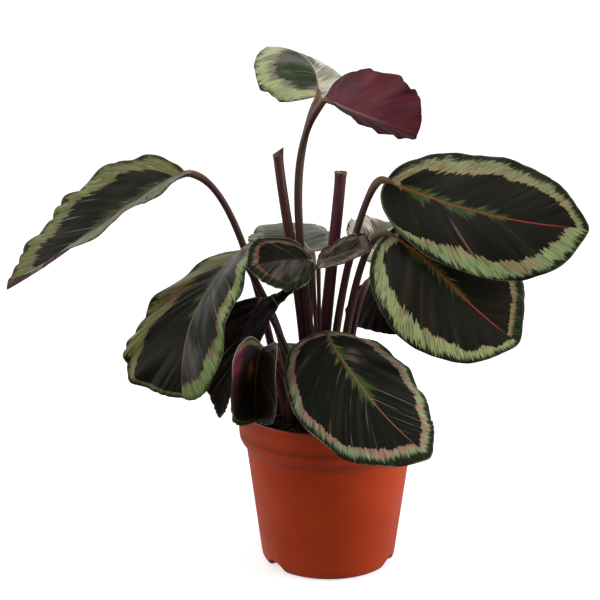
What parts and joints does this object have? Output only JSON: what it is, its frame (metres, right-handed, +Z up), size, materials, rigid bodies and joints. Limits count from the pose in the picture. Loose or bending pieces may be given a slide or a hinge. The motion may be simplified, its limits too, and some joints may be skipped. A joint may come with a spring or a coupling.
{
  "type": "potted calathea",
  "caption": "House plant with broad patterned leaves on thin bare stalks, standing in soil in a round plastic nursery pot.",
  "frame": {"origin": "centre of the pot's flat underside", "axes": "+Z up along the pot's axis, -Y the front that the main leaves face, +X to the plant's right"},
  "size_m": [0.4204, 0.2767, 0.3843],
  "materials": {
    "pot_plastic": "satin terracotta-coloured plastic",
    "soil": "dark, crumbly potting soil",
    "leaf": "satin leaf, blackish green with a pale feathered band, maroon below",
    "stalk": "satin dark red-brown stalk"
  },
  "bodies": {
    "root": {"pot": "pot_plastic", "soil": "soil", "blade_far_left": "leaf", "blade_left": "leaf", "blade_top_left": "leaf", "blade_top_right": "leaf", "blade_upper_right": "leaf", "blade_lower_right": "leaf", "blade_front": "leaf", "blade_front_left_small": "leaf", "blade_left_inner": "leaf", "blade_centre_small": "leaf", "blade_centre_curled": "leaf", "blade_back": "leaf", "blade_back_right": "leaf", "blade_right_inner": "leaf", "blade_back_low": "leaf", "stalk_far_left": "stalk", "stalk_left": "stalk", "stalk_top_left": "stalk", "stalk_top_right": "stalk", "stalk_upper_right": "stalk", "stalk_lower_right": "stalk", "stalk_front": "stalk", "stalk_front_left_small": "stalk", "stalk_left_inner": "stalk", "stalk_centre_small": "stalk", "stalk_centre_curled": "stalk", "stalk_back": "stalk", "stalk_back_right": "stalk", "stalk_right_inner": "stalk", "stalk_back_low": "stalk", "cut_stalk_left": "stalk", "cut_stalk_right": "stalk"}
  },
  "joints": []
}
